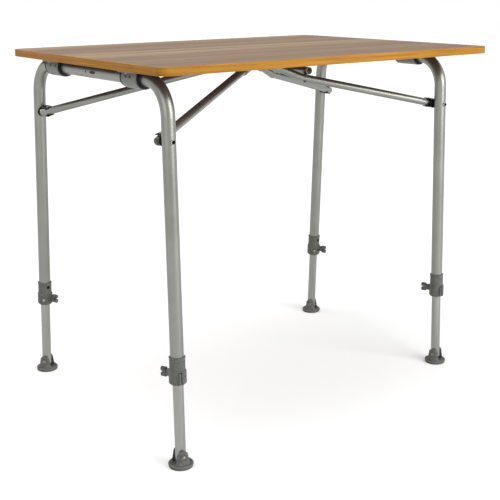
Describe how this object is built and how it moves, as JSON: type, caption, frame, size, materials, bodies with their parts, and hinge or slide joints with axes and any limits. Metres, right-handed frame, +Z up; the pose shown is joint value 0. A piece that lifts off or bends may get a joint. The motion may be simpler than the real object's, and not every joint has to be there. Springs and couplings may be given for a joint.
{
  "type": "folding camping table",
  "caption": "Folding camping table with a laminate board, two bent tube leg frames, telescoping legs with clamp locks, tilting feet and a folding brace linkage.",
  "frame": {"origin": "on the floor under the middle of the board", "axes": "+X along the long side of the board, from the frame with the wider legs to the one with the narrower legs; +Y across it; +Z up"},
  "size_m": [0.8, 0.6207, 0.725],
  "materials": {
    "laminate_board": "matt wood-look laminate",
    "wood_look_edging": "satin wood-look edging",
    "grey_plastic": "moulded, fine grain",
    "foot_plastic": "moulded, fine grain",
    "black_plastic": "satin",
    "dark_plastic": "satin",
    "guide_plastic": "satin",
    "cast_yoke": "satin",
    "black_steel": "satin black",
    "zinc_steel": "zinc plated",
    "bright_steel": "bright",
    "brass_rivet": "worn bright",
    "satin_tube": "satin",
    "inner_tube": "satin"
  },
  "bodies": {
    "top": {"board": "laminate_board", "edging": "wood_look_edging", "left_back_clamp": "grey_plastic", "left_front_clamp": "grey_plastic", "right_back_clamp": "grey_plastic", "right_front_clamp": "grey_plastic", "left_back_bush": "black_plastic", "left_front_bush": "black_plastic", "right_back_bush": "black_plastic", "right_front_bush": "black_plastic", "board_screws": "bright_steel", "hub_bracket": "zinc_steel", "hub_pins": "bright_steel"},
    "left_frame": {"left_frame_tube": "satin_tube", "left_back_lock": "grey_plastic", "left_front_lock": "grey_plastic", "left_leg_bolts": "black_steel"},
    "right_frame": {"right_frame_tube": "satin_tube", "right_back_lock": "grey_plastic", "right_front_lock": "grey_plastic", "right_leg_bolts": "black_steel"},
    "left_braces": {"left_back_brace": "satin_tube", "left_front_brace": "satin_tube", "left_yoke": "cast_yoke", "left_brackets": "black_steel", "left_brace_rivets": "bright_steel", "left_brace_plugs": "dark_plastic"},
    "right_braces": {"right_back_brace": "satin_tube", "right_front_brace": "satin_tube", "right_yoke": "cast_yoke", "right_brackets": "black_steel", "right_brace_rivets": "bright_steel", "right_brace_plugs": "dark_plastic", "grip_bar": "satin_tube"},
    "left_back_knob": {"left_back_knob": "dark_plastic", "left_back_stud": "bright_steel"},
    "left_back_leg": {"left_back_tube": "inner_tube", "left_back_guide": "guide_plastic", "left_back_pin": "brass_rivet"},
    "left_back_foot": {"left_back_foot": "foot_plastic"},
    "left_front_knob": {"left_front_knob": "dark_plastic", "left_front_stud": "bright_steel"},
    "left_front_leg": {"left_front_tube": "inner_tube", "left_front_guide": "guide_plastic", "left_front_pin": "brass_rivet"},
    "left_front_foot": {"left_front_foot": "foot_plastic"},
    "right_back_knob": {"right_back_knob": "dark_plastic", "right_back_stud": "bright_steel"},
    "right_back_leg": {"right_back_tube": "inner_tube", "right_back_guide": "guide_plastic", "right_back_pin": "brass_rivet"},
    "right_back_foot": {"right_back_foot": "foot_plastic"},
    "right_front_knob": {"right_front_knob": "dark_plastic", "right_front_stud": "bright_steel"},
    "right_front_leg": {"right_front_tube": "inner_tube", "right_front_guide": "guide_plastic", "right_front_pin": "brass_rivet"},
    "right_front_foot": {"right_front_foot": "foot_plastic"}
  },
  "joints": [
    {"name": "left_fold", "type": "hinge", "parent": "top", "child": "left_frame", "pos_m": [-0.3622, 0, 0.696], "axis": [0, -1, 0], "range_deg": [0, 88]},
    {"name": "right_fold", "type": "hinge", "parent": "top", "child": "right_frame", "pos_m": [0.3685, 0, 0.696], "axis": [0, 1, 0], "range_deg": [0, 84]},
    {"name": "left_brace_swing", "type": "hinge", "parent": "top", "child": "left_braces", "pos_m": [-0.012, 0, 0.7], "axis": [0, 1, 0], "range_deg": [0, 10]},
    {"name": "right_brace_swing", "type": "hinge", "parent": "top", "child": "right_braces", "pos_m": [0.012, 0, 0.7], "axis": [0, -1, 0], "range_deg": [0, 10]},
    {"name": "left_back_knob_turn", "type": "hinge", "parent": "left_frame", "child": "left_back_knob", "pos_m": [-0.36222, 0.25347, 0.17732], "axis": [0.3736, -0.9261, -0.0516], "range_deg": [0, 180]},
    {"name": "left_back_leg_slide", "type": "slide", "parent": "left_frame", "child": "left_back_leg", "axis": [0.0202, -0.0475, 0.9987], "range_m": [0, 0.11]},
    {"name": "left_back_foot_tilt", "type": "hinge", "parent": "left_back_leg", "child": "left_back_foot", "pos_m": [-0.37585, 0.28685, 0.022], "axis": [-0.7431, -0.6691, 0], "range_deg": [-12, 12]},
    {"name": "left_front_knob_turn", "type": "hinge", "parent": "left_frame", "child": "left_front_knob", "pos_m": [-0.38319, -0.25347, 0.17774], "axis": [-0.3754, 0.9261, -0.0364], "range_deg": [0, 180]},
    {"name": "left_front_leg_slide", "type": "slide", "parent": "left_frame", "child": "left_front_leg", "axis": [0.0202, 0.0475, 0.9987], "range_m": [0, 0.11]},
    {"name": "left_front_foot_tilt", "type": "hinge", "parent": "left_front_leg", "child": "left_front_foot", "pos_m": [-0.37585, -0.28685, 0.022], "axis": [-0.225, -0.9744, 0], "range_deg": [-12, 12]},
    {"name": "right_back_knob_turn", "type": "hinge", "parent": "right_frame", "child": "right_back_knob", "pos_m": [0.3772, 0.19216, 0.17774], "axis": [0.3745, -0.9264, -0.0396], "range_deg": [0, 180]},
    {"name": "right_back_leg_slide", "type": "slide", "parent": "right_frame", "child": "right_back_leg", "axis": [0.0034, -0.0413, 0.9991], "range_m": [0, 0.11]},
    {"name": "right_back_foot_tilt", "type": "hinge", "parent": "right_back_leg", "child": "right_back_foot", "pos_m": [0.36618, 0.22459, 0.022], "axis": [-0.809, -0.5878, 0], "range_deg": [-12, 12]},
    {"name": "right_front_knob_turn", "type": "hinge", "parent": "right_frame", "child": "right_front_knob", "pos_m": [0.35622, -0.19216, 0.17781], "axis": [-0.3747, 0.9264, -0.037], "range_deg": [0, 180]},
    {"name": "right_front_leg_slide", "type": "slide", "parent": "right_frame", "child": "right_front_leg", "axis": [0.0034, 0.0413, 0.9991], "range_m": [0, 0.11]},
    {"name": "right_front_foot_tilt", "type": "hinge", "parent": "right_front_leg", "child": "right_front_foot", "pos_m": [0.36618, -0.22459, 0.022], "axis": [-0.9397, -0.342, 0], "range_deg": [-12, 12]}
  ],
  "couplings": [
    {"joint": "right_fold", "follows": "left_fold", "ratio": 0.95454},
    {"joint": "left_brace_swing", "follows": "left_fold", "ratio": 0.1136},
    {"joint": "right_brace_swing", "follows": "left_fold", "ratio": 0.1136}
  ]
}
